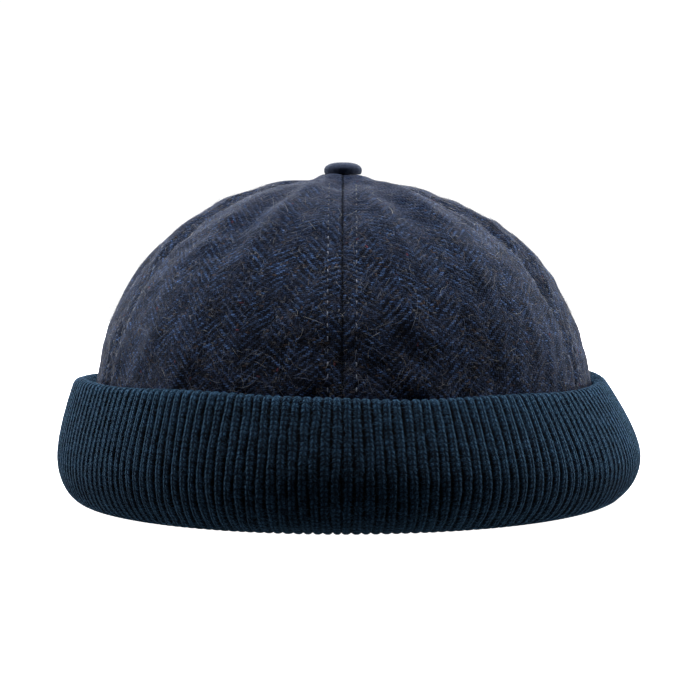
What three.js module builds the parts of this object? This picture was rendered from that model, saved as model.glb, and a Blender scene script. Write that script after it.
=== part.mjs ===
// A brimless cap: six sewn panels of tweed, a covered button, and a cuff of ribbed knit turned up outside.
// Millimetres, +Z up. The cap rests on its cuff at Z = 0 and its front seam faces -Y.
import * as THREE from "three";

// Sizes of the cap
const HEAD_GIRTH = 560; // round the inside of the knit band
const DEPTH_TO_WIDTH = 1.09; // the head opening is a little longer from front to back
const TWEED = 2; // thickness of the crown's cloth
const KNIT = 5; // thickness of the doubled knit
const SEAM_GAP = 0.3; // clearance between two pieces that are sewn or pressed together

// Crown
const PANELS = 6; // an even number, with a seam at the front and one at the back
const FRONT_PANEL_TURN = 67; // degrees: the two front panels are wider than the others
const CROWN_RISE = 70.7; // top of the crown above the cuff's edge
const HEM_DEPTH = 14; // how far the crown runs down inside the cuff
const CROWN_FULLNESS = 2.13; // exponent of the side profile: 2 is an ellipse, more is squarer
const PANEL_PUFF = 2.5; // how far a panel swells between its seams
const SEAM_DIP = 1.1; // depth of the groove along a seam
const SEAM_GROOVE = 3; // half width of that groove
const FOLD_LIFT = 2.4; // height of the tallest soft fold

// Button
const BUTTON_RADIUS = 6.8;
const BUTTON_HEIGHT = 4.3;
const SHANK_RADIUS = 2.4;
const BACK_DISC_RADIUS = 5;
const BACK_DISC_THICKNESS = 1.2;
const NECK_RISE = 1.7; // the cloth is drawn up under the button
const NECK_RUN = 5.5; // and falls away over this distance

// Knit cuff
const CUFF_HEIGHT = 43;
const EDGE_WAVE = 1; // the upper edge stands higher at front left and back right, lower at the other two
const EDGE_CLEARANCE = 1.8; // from the crown to the cuff's upper edge
const EDGE_LEAN = -0.7; // the upper edge lies closer to the crown on the +X side
const BELLY_BULGE = 8.7; // the cuff's belly stands out past its upper edge
const BELLY_LEAN = 2.5; // and further out on the +X side
const BELLY_HEIGHT = 15.5;
const POCKET_TURN = 0.4; // radius left open inside the lower fold
const REST_WIDTH = 1.4; // the flat stretch that the cap rests on
const UPPER_CURVE = 0.3; // how much of the upper face stays steep above the belly

// Worked out from the sizes above
const MEAN_TO_WIDTH = Math.sqrt((1 + DEPTH_TO_WIDTH ** 2) / 2);
const BAND_HALF_WIDTH = HEAD_GIRTH / (2 * Math.PI * MEAN_TO_WIDTH);
const CROWN_HALF_WIDTH = BAND_HALF_WIDTH + (KNIT + TWEED) / 2; // the crown stands over the middle of the knit
const HEM_HEIGHT = CUFF_HEIGHT - HEM_DEPTH;
const CROWN_HEIGHT = CROWN_RISE + HEM_DEPTH;
const EYELET_RADIUS = SHANK_RADIUS + SEAM_GAP;
const SIDE_PANEL_TURN = (180 - FRONT_PANEL_TURN) / (PANELS / 2 - 1); // degrees
const EVEN_PACE = (DEPTH_TO_WIDTH ** 2 - 1) / (4 * (DEPTH_TO_WIDTH ** 2 + 1));
const EYELET_TILT = Math.acos((EYELET_RADIUS / CROWN_HALF_WIDTH) ** (CROWN_FULLNESS / 2));

// Mesh density
const PANEL_COLUMNS = 16;
const PANEL_ROWS = 14;
const ROW_EASE = 1.3; // above 1, rows lie closer together towards the button
const CUFF_COLUMNS = 64;
const BUTTON_SIDES = 24;

const TWEED_COLOUR = 0x23283c;
const KNIT_COLOUR = 0x12283a;
const BUTTON_COLOUR = 0x171a29;

// Soft folds that run down from the button. around is in degrees from the front seam towards +X, at the fold's
// upper and lower end. upper and lower are shares of the way from button to hem, wide is the fold's half width in
// degrees, and lift is a share of FOLD_LIFT: above 0 for a ridge, below 0 for a hollow.
const FOLDS = [
  { aroundUpper: -18, aroundLower: -27, upper: 0.06, lower: 0.8, wide: 6, lift: 0.55 },
  { aroundUpper: -29, aroundLower: -36, upper: 0.1, lower: 0.64, wide: 6.5, lift: -1 },
  { aroundUpper: 13, aroundLower: 18, upper: 0.1, lower: 0.92, wide: 5.5, lift: 0.55 },
  { aroundUpper: 20, aroundLower: 28, upper: 0.08, lower: 0.6, wide: 7, lift: -0.9 },
  { aroundUpper: 39, aroundLower: 33, upper: 0.1, lower: 0.5, wide: 5.5, lift: 0.45 },
  { aroundUpper: 2, aroundLower: 8, upper: 0.68, lower: 1, wide: 22, lift: -0.9 },
  { aroundUpper: 6, aroundLower: 22, upper: 0.72, lower: 1, wide: 4, lift: 0.45 },
  { aroundUpper: 30, aroundLower: 33, upper: 0.76, lower: 1, wide: 9, lift: -0.5 },
  { aroundUpper: -54, aroundLower: -58, upper: 0.78, lower: 1, wide: 9, lift: -0.5 },
  { aroundUpper: 90, aroundLower: 90, upper: 0, lower: 0.58, wide: 54, lift: -0.84 },
  { aroundUpper: 90, aroundLower: 90, upper: 0.3, lower: 1, wide: 54, lift: -0.53 },
  { aroundUpper: 88, aroundLower: 92, upper: 0.28, lower: 0.56, wide: 22, lift: -0.26 },
  { aroundUpper: -90, aroundLower: -90, upper: 0.3, lower: 1, wide: 54, lift: -0.5 },
  { aroundUpper: -90, aroundLower: -90, upper: 0.03, lower: 0.28, wide: 40, lift: 0.1 },
  { aroundUpper: -93, aroundLower: -88, upper: 0.26, lower: 0.52, wide: 20, lift: -0.45 },
  { aroundUpper: -76, aroundLower: -78, upper: 0.1, lower: 0.7, wide: 7, lift: 0.45 },
  { aroundUpper: 76, aroundLower: 78, upper: 0.12, lower: 0.75, wide: 7, lift: 0.5 },
  { aroundUpper: 54, aroundLower: 51, upper: 0.15, lower: 0.6, wide: 5.5, lift: -0.6 },
  { aroundUpper: 108, aroundLower: 112, upper: 0.08, lower: 0.7, wide: 6.5, lift: -0.7 },
  { aroundUpper: 134, aroundLower: 139, upper: 0.1, lower: 0.85, wide: 5.5, lift: 0.5 },
  { aroundUpper: 152, aroundLower: 157, upper: 0.1, lower: 0.65, wide: 7, lift: -0.9 },
  { aroundUpper: 165, aroundLower: 169, upper: 0.2, lower: 0.95, wide: 5.5, lift: 0.5 },
  { aroundUpper: 205, aroundLower: 199, upper: 0.12, lower: 0.6, wide: 6.5, lift: -0.8 },
  { aroundUpper: 218, aroundLower: 214, upper: 0.1, lower: 0.8, wide: 5.5, lift: 0.5 },
  { aroundUpper: 246, aroundLower: 250, upper: 0.1, lower: 0.7, wide: 7, lift: -0.7 },
];

const degrees = THREE.MathUtils.degToRad;
const smooth = THREE.MathUtils.smoothstep;
const mix = THREE.MathUtils.lerp;
const SEAM_TURNS = Array.from({ length: PANELS }, (_, number) => seamTurn(number));

// A turn is an angle from the front towards +X that paces evenly along the oval of the hem.
function ovalAngle(turn) {
  return turn + EVEN_PACE * Math.sin(2 * turn);
}

// Turn of a seam, by its number from the front seam (0) once round towards +X.
function seamTurn(number) {
  if (number > PANELS / 2) return 2 * Math.PI - seamTurn(PANELS - number);
  return number === 0 ? 0 : degrees(FRONT_PANEL_TURN + (number - 1) * SIDE_PANEL_TURN);
}

// The panel that a turn falls in: how wide it is, as a turn, and the share of the way across it.
function panelAt(turn) {
  const once = turn - 2 * Math.PI * Math.floor(turn / (2 * Math.PI));
  const number = SEAM_TURNS.findLastIndex((seam) => seam <= once);
  const wide = seamTurn(number + 1) - SEAM_TURNS[number];
  return { wide, across: (once - SEAM_TURNS[number]) / wide };
}

// Height and half width of the crown's outline, as a superellipse from the eyelet (share 0) to the hem (share 1).
function crownOutline(share) {
  const tilt = (1 - share) * EYELET_TILT;
  return {
    radius: CROWN_HALF_WIDTH * Math.cos(tilt) ** (2 / CROWN_FULLNESS),
    height: HEM_HEIGHT + CROWN_HEIGHT * Math.sin(tilt) ** (2 / CROWN_FULLNESS),
  };
}

// The share at which the crown's outline has the given half width.
function shareAtRadius(radius) {
  return 1 - Math.acos((radius / CROWN_HALF_WIDTH) ** (CROWN_FULLNESS / 2)) / EYELET_TILT;
}

// The plain dome, round at the button and oval at the hem.
function domePoint(turn, share) {
  const { radius, height } = crownOutline(share);
  const angle = ovalAngle(turn);
  const stretch = 1 + (DEPTH_TO_WIDTH - 1) * (radius / CROWN_HALF_WIDTH);
  return new THREE.Vector3(radius * Math.sin(angle), -radius * stretch * Math.cos(angle), height);
}

function domeNormal(turn, share) {
  const step = 1e-3;
  const low = Math.max(share - step, 0);
  const high = Math.min(share + step, 1);
  const alongTurn = domePoint(turn + step, share).sub(domePoint(turn - step, share));
  const alongShare = domePoint(turn, high).sub(domePoint(turn, low));
  return alongShare.cross(alongTurn).normalize();
}

function foldLift(turn, share, fold) {
  if (share <= fold.upper || share >= fold.lower) return 0;
  const along = (share - fold.upper) / (fold.lower - fold.upper);
  const centre = degrees(mix(fold.aroundUpper, fold.aroundLower, along));
  const aside = Math.atan2(Math.sin(turn - centre), Math.cos(turn - centre));
  const across = Math.exp(-((aside / degrees(fold.wide)) ** 2));
  return fold.lift * FOLD_LIFT * Math.sin(Math.PI * along) ** 2 * across;
}

// How far the sewn crown stands out from the plain dome: panels swell, seams pull in, folds run down, and the
// cloth rises to a neck under the button.
function crownLift(turn, share) {
  const { radius } = crownOutline(share);
  const { wide, across } = panelAt(turn);
  const fromSeam = Math.min(across, 1 - across) * wide * radius;
  const puff = PANEL_PUFF * Math.sin(Math.PI * across) ** 1.5 * Math.sin(Math.PI * share);
  const grooveReach = smooth(radius, BUTTON_RADIUS, 3 * BUTTON_RADIUS);
  const groove = SEAM_DIP * Math.exp(-((fromSeam / SEAM_GROOVE) ** 2)) * grooveReach;
  const folds = FOLDS.reduce((sum, fold) => sum + foldLift(turn, share, fold), 0);
  const neck = NECK_RISE * (1 - smooth(radius, BUTTON_RADIUS, BUTTON_RADIUS + NECK_RUN));
  return puff - groove + folds + neck;
}

// A point of the crown's cloth: depth 0 is its outer face and depth TWEED its inner face.
function crownPoint(turn, share, depth) {
  const lift = crownLift(turn, share) - depth;
  return domePoint(turn, share).addScaledVector(domeNormal(turn, share), lift);
}

// A closed wall from two grids of points, outer and inner, each an array of rows.
function wallGeometry(outer, inner) {
  const rows = outer.length;
  const columns = outer[0].length;
  const points = [...outer.flat(), ...inner.flat()];
  const index = [];
  const at = (layer, row, column) => (layer * rows + row) * columns + column;
  const quad = (a, b, c, d) => index.push(a, b, c, a, c, d);
  for (let row = 0; row < rows - 1; row++) {
    for (let column = 0; column < columns - 1; column++) {
      const corners = [[row, column], [row + 1, column], [row + 1, column + 1], [row, column + 1]];
      quad(...corners.map(([r, c]) => at(0, r, c)));
      quad(...corners.toReversed().map(([r, c]) => at(1, r, c)));
    }
  }
  for (let row = 0; row < rows - 1; row++) {
    quad(at(0, row + 1, 0), at(0, row, 0), at(1, row, 0), at(1, row + 1, 0));
    const last = columns - 1;
    quad(at(0, row, last), at(0, row + 1, last), at(1, row + 1, last), at(1, row, last));
  }
  for (let column = 0; column < columns - 1; column++) {
    quad(at(0, 0, column), at(0, 0, column + 1), at(1, 0, column + 1), at(1, 0, column));
    const last = rows - 1;
    quad(at(0, last, column + 1), at(0, last, column), at(1, last, column), at(1, last, column + 1));
  }
  return new THREE.BufferGeometry().setFromPoints(points).setIndex(index);
}

// One panel of the crown, from the seam at its number to the next seam, with columns closer together near both.
function panelGeometry(number) {
  const face = (depth) =>
    Array.from({ length: PANEL_ROWS + 1 }, (_, row) => {
      const share = (row / PANEL_ROWS) ** ROW_EASE;
      const gapTurn = SEAM_GAP / 2 / crownOutline(share).radius;
      return Array.from({ length: PANEL_COLUMNS + 1 }, (_, column) => {
        const across = (1 - Math.cos((Math.PI * column) / PANEL_COLUMNS)) / 2;
        const start = seamTurn(number) + gapTurn;
        const end = seamTurn(number + 1) - gapTurn;
        return crownPoint(mix(start, end, across), share, depth);
      });
    });
  return wallGeometry(face(0), face(TWEED));
}

// An arc of an ellipse in the cuff's section, from one angle to another, both ends included.
function sectionArc(centreOut, centreUp, outAxis, upAxis, from, to, pieces) {
  return Array.from({ length: pieces + 1 }, (_, i) => {
    const angle = degrees(mix(from, to, i / pieces));
    return [centreOut + outAxis * Math.cos(angle), centreUp + upAxis * Math.sin(angle)];
  });
}

// The knit's cross-section at one place round the cap, as [out, up] points. out is measured from the crown's hem.
// It runs down the inner face, round the lower fold, up the belly to the upper edge, and back inside the pocket.
function cuffSection(angle) {
  const half = KNIT / 2;
  const lean = Math.sin(angle);
  const leafOut = -TWEED / 2;
  const leafTop = HEM_HEIGHT - SEAM_GAP;
  const turnRadius = half + POCKET_TURN;
  const turnOut = leafOut + turnRadius;
  const turnUp = half + turnRadius;
  const restEnd = turnOut + REST_WIDTH;
  const edgeOut = EDGE_CLEARANCE + EDGE_LEAN * lean + half;
  const bellyOut = EDGE_CLEARANCE + BELLY_BULGE + BELLY_LEAN * lean + half;
  const edgeUp = CUFF_HEIGHT - half - EDGE_WAVE * Math.sin(2 * angle);
  const bellyWide = bellyOut - restEnd;
  const bellyTall = BELLY_HEIGHT - half;

  const start = new THREE.Vector2(bellyOut, BELLY_HEIGHT);
  const bend = new THREE.Vector2(bellyOut, mix(BELLY_HEIGHT, edgeUp, UPPER_CURVE));
  const end = new THREE.Vector2(edgeOut, edgeUp);
  const upper = new THREE.QuadraticBezierCurve(start, bend, end);
  const upperFace = (offset, pieces) =>
    Array.from({ length: pieces + 1 }, (_, i) => {
      const point = upper.getPoint(i / pieces);
      const along = upper.getTangent(i / pieces);
      return [point.x + along.y * offset, point.y - along.x * offset];
    });
  const lastAlong = upper.getTangent(1);
  const edgeAngle = THREE.MathUtils.radToDeg(Math.atan2(-lastAlong.x, lastAlong.y));

  return [
    [leafOut - half, leafTop],
    [leafOut - half, mix(leafTop, turnUp, 0.5)],
    ...sectionArc(turnOut, turnUp, turnRadius + half, turnRadius + half, 180, 270, 3),
    ...sectionArc(restEnd, BELLY_HEIGHT, bellyWide + half, bellyTall + half, 270, 360, 6),
    ...upperFace(half, 5).slice(1),
    ...sectionArc(edgeOut, edgeUp, half, half, edgeAngle, edgeAngle + 180, 4).slice(1),
    ...upperFace(-half, 4).toReversed().slice(1),
    ...sectionArc(restEnd, BELLY_HEIGHT, bellyWide - half, bellyTall - half, 360, 270, 3).slice(1),
    ...sectionArc(turnOut, turnUp, turnRadius - half, turnRadius - half, 270, 180, 1),
    [leafOut + half, mix(turnUp, leafTop, 0.5)],
    [leafOut + half, leafTop],
  ];
}

// The knit band as one closed ring: its section carried round the oval of the crown's hem, square to it.
function cuffGeometry() {
  const points = [];
  const index = [];
  const count = cuffSection(0).length;
  for (let column = 0; column < CUFF_COLUMNS; column++) {
    const angle = ovalAngle((2 * Math.PI * column) / CUFF_COLUMNS);
    const hem = [CROWN_HALF_WIDTH * Math.sin(angle), -CROWN_HALF_WIDTH * DEPTH_TO_WIDTH * Math.cos(angle)];
    const outward = new THREE.Vector2(DEPTH_TO_WIDTH * Math.sin(angle), -Math.cos(angle)).normalize();
    for (const [out, up] of cuffSection(angle)) {
      points.push(new THREE.Vector3(hem[0] + outward.x * out, hem[1] + outward.y * out, up));
    }
    const next = ((column + 1) % CUFF_COLUMNS) * count;
    for (let i = 0; i < count; i++) {
      const [a, b] = [column * count + i, column * count + ((i + 1) % count)];
      const [c, d] = [next + ((i + 1) % count), next + i];
      index.push(a, d, c, a, c, b);
    }
  }
  return new THREE.BufferGeometry().setFromPoints(points).setIndex(index);
}

// The covered button: a shallow dome on a shank that passes through the eyelet to a disc behind the cloth.
function buttonGeometry() {
  const seat = crownPoint(0, 0, 0).z + SEAM_GAP;
  const clothBack = crownPoint(0, shareAtRadius(BUTTON_RADIUS), TWEED).z - SEAM_GAP;
  const rimHeight = BUTTON_HEIGHT * 0.35;
  const domeRise = BUTTON_HEIGHT - rimHeight;
  const dome = Array.from({ length: 7 }, (_, i) => {
    const angle = degrees(15 * i);
    return [BUTTON_RADIUS * Math.cos(angle) ** 0.7, seat + rimHeight + domeRise * Math.sin(angle)];
  });
  const profile = [
    [0, clothBack - BACK_DISC_THICKNESS],
    [BACK_DISC_RADIUS, clothBack - BACK_DISC_THICKNESS],
    [BACK_DISC_RADIUS, clothBack],
    [SHANK_RADIUS, clothBack],
    [SHANK_RADIUS, seat],
    [BUTTON_RADIUS * 0.96, seat],
    ...dome.slice(0, -1),
    [0, seat + BUTTON_HEIGHT],
  ];
  const turned = new THREE.LatheGeometry(profile.map(([r, z]) => new THREE.Vector2(r, z)), BUTTON_SIDES);
  return turned.rotateX(Math.PI / 2);
}

function piece(name, geometry, colour) {
  const material = new THREE.MeshStandardMaterial({ color: colour, roughness: 0.95, metalness: 0 });
  const mesh = new THREE.Mesh(geometry, material);
  mesh.name = name;
  return mesh;
}

const cap = new THREE.Group();
for (let number = 0; number < PANELS; number++) {
  cap.add(piece(`crown_panel_${number + 1}`, panelGeometry(number), TWEED_COLOUR));
}
cap.add(piece("button", buttonGeometry(), BUTTON_COLOUR));
cap.add(piece("knit_cuff", cuffGeometry(), KNIT_COLOUR));
cap.position.x = -BELLY_LEAN; // the cuff's outline, which leans to +X, is centred on the origin

export default cap;
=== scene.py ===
# %% [markdown]
# # A brimless cap
# The real cap has six gores of navy herringbone tweed, a small covered button on top, and a doubled band
# of ribbed knit that is turned up outside the crown. This lesson dresses the imported solids, which are the
# cap's fixed frame, and every piece below takes the place of one of them or lies on one. The model comes
# in first, because all the cloth is fitted to it.

import bpy
import numpy as np
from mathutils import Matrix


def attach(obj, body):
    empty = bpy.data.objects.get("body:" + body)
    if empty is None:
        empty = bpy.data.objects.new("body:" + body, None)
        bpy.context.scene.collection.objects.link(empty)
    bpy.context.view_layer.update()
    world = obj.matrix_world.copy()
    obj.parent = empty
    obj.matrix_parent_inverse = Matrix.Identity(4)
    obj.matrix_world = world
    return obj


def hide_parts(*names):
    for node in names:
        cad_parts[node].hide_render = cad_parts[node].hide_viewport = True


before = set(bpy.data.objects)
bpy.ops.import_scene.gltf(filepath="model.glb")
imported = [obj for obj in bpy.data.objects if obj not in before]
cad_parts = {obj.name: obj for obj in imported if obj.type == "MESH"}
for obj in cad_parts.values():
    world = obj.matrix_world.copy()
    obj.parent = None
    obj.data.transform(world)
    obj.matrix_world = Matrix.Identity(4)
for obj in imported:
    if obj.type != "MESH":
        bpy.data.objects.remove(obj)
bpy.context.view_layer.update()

MM = 0.001
print("solids in the frame:", len(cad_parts))

# %% [markdown]
# ## The camera
# A product picture of a cap is taken from a little above its middle, straight at the front seam. A long
# lens from three quarters of a metre keeps the cuff's curve shallow. The lens, height and tilt were
# worked out from the cuff's upper and lower edges.

# %% The camera
LENS = 108
CAMERA_PLACE = (0.00002, -0.756, 0.0931)
LOOKING_DOWN = np.radians(3.07)

camera = bpy.data.objects.new("camera", bpy.data.cameras.new("camera"))
camera.data.lens = LENS
camera.data.clip_start = 0.01
camera.location = CAMERA_PLACE
camera.rotation_euler = (np.pi / 2 - LOOKING_DOWN, 0, 0)
bpy.context.scene.collection.objects.link(camera)
bpy.context.scene.camera = camera
bpy.context.scene.view_settings.view_transform = "Standard"
print("lens", LENS, "mm")

# %% [markdown]
# ## Shader nodes by hand
# Cloth gets its colour and its fine relief from shader nodes. They could be clicked together one by one.
# Here a few small helpers write them, so that a material reads like a recipe. The main one adds a node
# and wires its inputs, and the others use it for sums, noise, mixes and relief.

# %% Helpers for shader nodes
def add(tree, kind, inputs=None, **settings):
    """One shader node. inputs maps a socket to a number, a colour or the output of another node."""
    made = tree.nodes.new(kind)
    for field, value in settings.items():
        setattr(made, field, value)
    for socket, value in (inputs or {}).items():
        if isinstance(value, bpy.types.NodeSocket):
            tree.links.new(value, made.inputs[socket])
        else:
            made.inputs[socket].default_value = value
    return made


def calc(tree, operation, *values):
    """The output of one Math node."""
    return add(tree, "ShaderNodeMath", dict(enumerate(values)), operation=operation).outputs[0]


def times(tree, first, second):
    """Two values multiplied."""
    return calc(tree, "MULTIPLY", first, second)


def apart(tree, first, second):
    """How far two values are apart."""
    return calc(tree, "ABSOLUTE", calc(tree, "SUBTRACT", first, second))


def vector(tree, operation, *values):
    """The output of one Vector Math node."""
    return add(tree, "ShaderNodeVectorMath", dict(enumerate(values)), operation=operation).outputs[0]


def axes(tree, place):
    """The first two numbers of a place."""
    return add(tree, "ShaderNodeSeparateXYZ", {0: place}).outputs[:2]


def pattern_place(tree, uv_name):
    """A point's place in the pattern, from the UV map that the piece carries."""
    return add(tree, "ShaderNodeUVMap", uv_map=uv_name).outputs[0]


def between(tree, value, low, high, to_low=0.0, to_high=1.0):
    """A value carried smoothly from the range low to high into the range to_low to to_high."""
    inputs = {"Value": value, "From Min": low, "From Max": high, "To Min": to_low, "To Max": to_high}
    return add(tree, "ShaderNodeMapRange", inputs, interpolation_type="SMOOTHSTEP").outputs[0]


def mixed(tree, share, first, second, blend="MIX"):
    """Two colours mixed: share 0 is the first and share 1 the second."""
    inputs = {0: share, 6: first, 7: second}
    return add(tree, "ShaderNodeMix", inputs, data_type="RGBA", blend_type=blend).outputs[2]


def noise(tree, place, size, detail=2.0):
    """Soft noise whose grains are about size across, in the units of place."""
    inputs = {"Vector": place, "Scale": 1 / size, "Detail": detail}
    return add(tree, "ShaderNodeTexNoise", inputs).outputs[0]


def bent(tree, place, size, amount):
    """A place pushed about by up to half the amount, in patches about size across."""
    inputs = {"Vector": place, "Scale": 1 / size, "Detail": 1.0}
    push = add(tree, "ShaderNodeTexNoise", inputs).outputs["Color"]
    push = vector(tree, "SUBTRACT", push, (0.5, 0.5, 0.5))
    return vector(tree, "MULTIPLY_ADD", push, (amount, amount, 0), place)


def dice(tree, first, second, third):
    """Three random numbers from 0 to 1 that stay the same while three whole numbers do."""
    spot = add(tree, "ShaderNodeCombineXYZ", {0: first, 1: second, 2: third}).outputs[0]
    thrown = add(tree, "ShaderNodeTexWhiteNoise", {"Vector": spot}).outputs["Color"]
    return add(tree, "ShaderNodeSeparateColor", {0: thrown}).outputs


def ridges(tree, place, pitch=1.0):
    """The size of a sine, which gives one ridge for each pitch."""
    return calc(tree, "ABSOLUTE", calc(tree, "SINE", times(tree, place, np.pi / pitch)))


def arch(tree, part, power=0.6):
    """Ridges raised to a power: a low one makes them fuller and a high one sharper."""
    return calc(tree, "POWER", ridges(tree, part), power)


def rgba(red, green, blue):
    """A colour as Blender's sockets want it, with full cover."""
    return (red, green, blue, 1.0)


def shaded(tree, colour, value):
    """A colour multiplied by a value."""
    shade = add(tree, "ShaderNodeCombineColor", {0: value, 1: value, 2: value}).outputs[0]
    return mixed(tree, 1.0, colour, shade, "MULTIPLY")


def relief(tree, height, depth, strength=1.0):
    """A normal tilted by a height. Depth is how many millimetres a height of 1 stands for."""
    inputs = {"Strength": strength, "Distance": depth * MM, "Height": height}
    return add(tree, "ShaderNodeBump", inputs).outputs[0]


def new_material(name):
    """An empty node material and its tree."""
    material = bpy.data.materials.new(name)
    material.use_nodes = True
    material.node_tree.nodes.clear()
    return material, material.node_tree


def finish_material(tree, inputs):
    """Puts the Principled shader into the tree with these inputs and joins it to the output."""
    shader = add(tree, "ShaderNodeBsdfPrincipled", inputs)
    add(tree, "ShaderNodeOutputMaterial", {"Surface": shader.outputs[0]})


print("node helpers ready")

# %% [markdown]
# ## Floor, room and lights
# The cap lies on a pale floor in a white room. Dark wool on white needs light from above, behind and both
# sides, so that its outline glows a little and its front stays deep. Low boxes at both sides lift the
# cuff, and two more skim along the cap from behind. The room looks white to the camera but lends little
# light of its own, and the floor is pale to the camera but throws little light back up under the cuff. A
# Light Path node tells the two apart.

# %% The floor and the room
FLOOR_RADIUS = 1.6
FLOOR_HEIGHT = -0.0005
FLOOR_LIGHT = 0.24
FLOOR_SEEN = 0.9
FLOOR_PAINT = rgba(0.05, 0.05, 0.05), rgba(0.86, 0.86, 0.86)  # for the cap, and for the camera


def pale_floor():
    """Pale paint that glows slightly, so that it meets the white room without a line."""
    material, tree = new_material("pale_floor")
    seen = add(tree, "ShaderNodeLightPath").outputs["Is Camera Ray"]
    glow = calc(tree, "MULTIPLY_ADD", seen, FLOOR_SEEN, FLOOR_LIGHT)
    finish_material(tree, {"Base Color": mixed(tree, seen, *FLOOR_PAINT), "Roughness": 0.9,
                           "Emission Color": rgba(1, 1, 1), "Emission Strength": glow})
    return material


around = np.linspace(0, 2 * np.pi, 96, endpoint=False)
disc = FLOOR_RADIUS * np.stack([np.cos(around), np.sin(around), 0 * around], -1) + [0, 0, FLOOR_HEIGHT]
floor_mesh = bpy.data.meshes.new("floor")
floor_mesh.from_pydata(disc.tolist(), [], [list(range(len(disc)))])
floor = bpy.data.objects.new("floor", floor_mesh)
floor.data.materials.append(pale_floor())
bpy.context.scene.collection.objects.link(floor)

ROOM_LIGHT = 0.002
ROOM_SEEN = 1.05
world = bpy.data.worlds.new("white_room")
world.use_nodes = True
world.node_tree.nodes.clear()
seen = add(world.node_tree, "ShaderNodeLightPath").outputs["Is Camera Ray"]
strength = between(world.node_tree, seen, 0, 1, ROOM_LIGHT, ROOM_SEEN)
room = add(world.node_tree, "ShaderNodeBackground", {"Color": rgba(1, 1, 1), "Strength": strength})
add(world.node_tree, "ShaderNodeOutputWorld", {"Surface": room.outputs[0]})
bpy.context.scene.world = world
print("floor", 2 * FLOOR_RADIUS, "m across")

# %% The lights
LIGHTS = {  # place, width and height in m and power in W of each soft box; all face the cap
    "overhead": ((0.0, 0.1, 1.2), 1.6, 0.35, 41),
    "behind": ((0.0, 1.35, 0.75), 1.8, 0.8, 68),
    "left": ((-1.2, 0.1, 0.45), 0.9, 0.9, 1.5),
    "right": ((1.2, 0.1, 0.45), 0.9, 0.9, 1),
    "left_back": ((-1.0, 0.85, 0.3), 0.8, 0.8, 1),
    "left_low": ((-1.3, 0.35, 0.05), 0.9, 0.2, 15),
    "right_low": ((1.3, 0.35, 0.05), 0.9, 0.2, 19),
    "left_skim": ((-0.9, 0.95, 0.1), 0.8, 0.3, 16),
    "right_skim": ((0.9, 0.95, 0.1), 0.8, 0.3, 14),
}
AIM = np.array([0, 0, 0.06])

for name, (place, width, height, power) in LIGHTS.items():
    box = bpy.data.lights.new("soft_box_" + name, "AREA")
    box.shape, box.size, box.size_y, box.energy = "RECTANGLE", width, height, power
    lamp = bpy.data.objects.new("soft_box_" + name, box)
    x, y, z = AIM - place
    lamp.location = place
    lamp.rotation_euler = (np.arctan2(np.hypot(x, y), -z), 0, np.arctan2(y, x) - np.pi / 2)
    lamp.visible_camera = False
    bpy.context.scene.collection.objects.link(lamp)
print("soft boxes:", ", ".join(LIGHTS))

# %% [markdown]
# ## Grids into meshes
# Every piece here is a grid of points worked out as one numpy array. Two sorts are enough. A **wall** is
# a strip of cloth with an outer and an inner face, closed round its edges. A **tube** is a row of rings
# closed at both ends, which serves for a stitch, a fibre and the button alike. Points are in millimetres
# and go into the mesh in metres. The pattern's coordinates go with each corner, so that a ring can close
# on itself.

# %% Helpers for meshes
def grid_corners(rows, columns):
    """Row and column of the four corners of each cell in a grid of that many cells."""
    row, column = (part.ravel()[:, None] for part in np.mgrid[0:rows, 0:columns])
    return row + np.array([0, 1, 1, 0]), column + np.array([0, 0, 1, 1])


def make_piece(name, points, quads, corner_uv, uv_name, material, slot, nodes=(), from_seam=None):
    """A smooth mesh piece from points in mm, quads, and the pattern's place at each corner of each quad."""
    mesh = bpy.data.meshes.new(name)
    mesh.vertices.add(len(points))
    mesh.vertices.foreach_set("co", (points * MM).ravel())
    mesh.loops.add(quads.size)
    mesh.loops.foreach_set("vertex_index", quads.ravel())
    mesh.polygons.add(len(quads))
    mesh.polygons.foreach_set("loop_start", np.arange(0, quads.size, 4))
    mesh.update(calc_edges=True)
    mesh.uv_layers.new(name=uv_name).data.foreach_set("uv", corner_uv.ravel())
    if from_seam is not None:
        mesh.attributes.new("from_seam", "FLOAT", "POINT").data.foreach_set("value", from_seam.ravel())
    mesh.shade_smooth()
    mesh.materials.append(material)
    piece = bpy.data.objects.new(name, mesh)
    bpy.context.scene.collection.objects.link(piece)
    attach(piece, "root")
    if nodes:
        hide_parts(*nodes)
    print(f"{name}: {2 * len(quads)} triangles")
    return piece


def wall(outer, inner, uv):
    """Points, quads and corner places of a closed strip. Its columns run over the outer face and back over
    the inner one, and quads between the two faces close its upper and lower ends."""
    rows, columns = outer.shape[:2]
    points = np.concatenate([outer, inner[:, ::-1]], 1)
    place = np.concatenate([uv, uv[:, ::-1]], 1)
    row, column = grid_corners(rows - 1, 2 * columns)
    step = np.arange(columns - 1)[:, None]
    far = 2 * columns - 1
    upper = np.concatenate([step, step + 1, far - 1 - step, far - step], 1)
    lower = upper[:, ::-1]
    row = np.concatenate([row, 0 * upper, 0 * lower + rows - 1])
    column = np.concatenate([column, upper, lower]) % (2 * columns)
    return points.reshape(-1, 3), row * 2 * columns + column, place[row, column]


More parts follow.
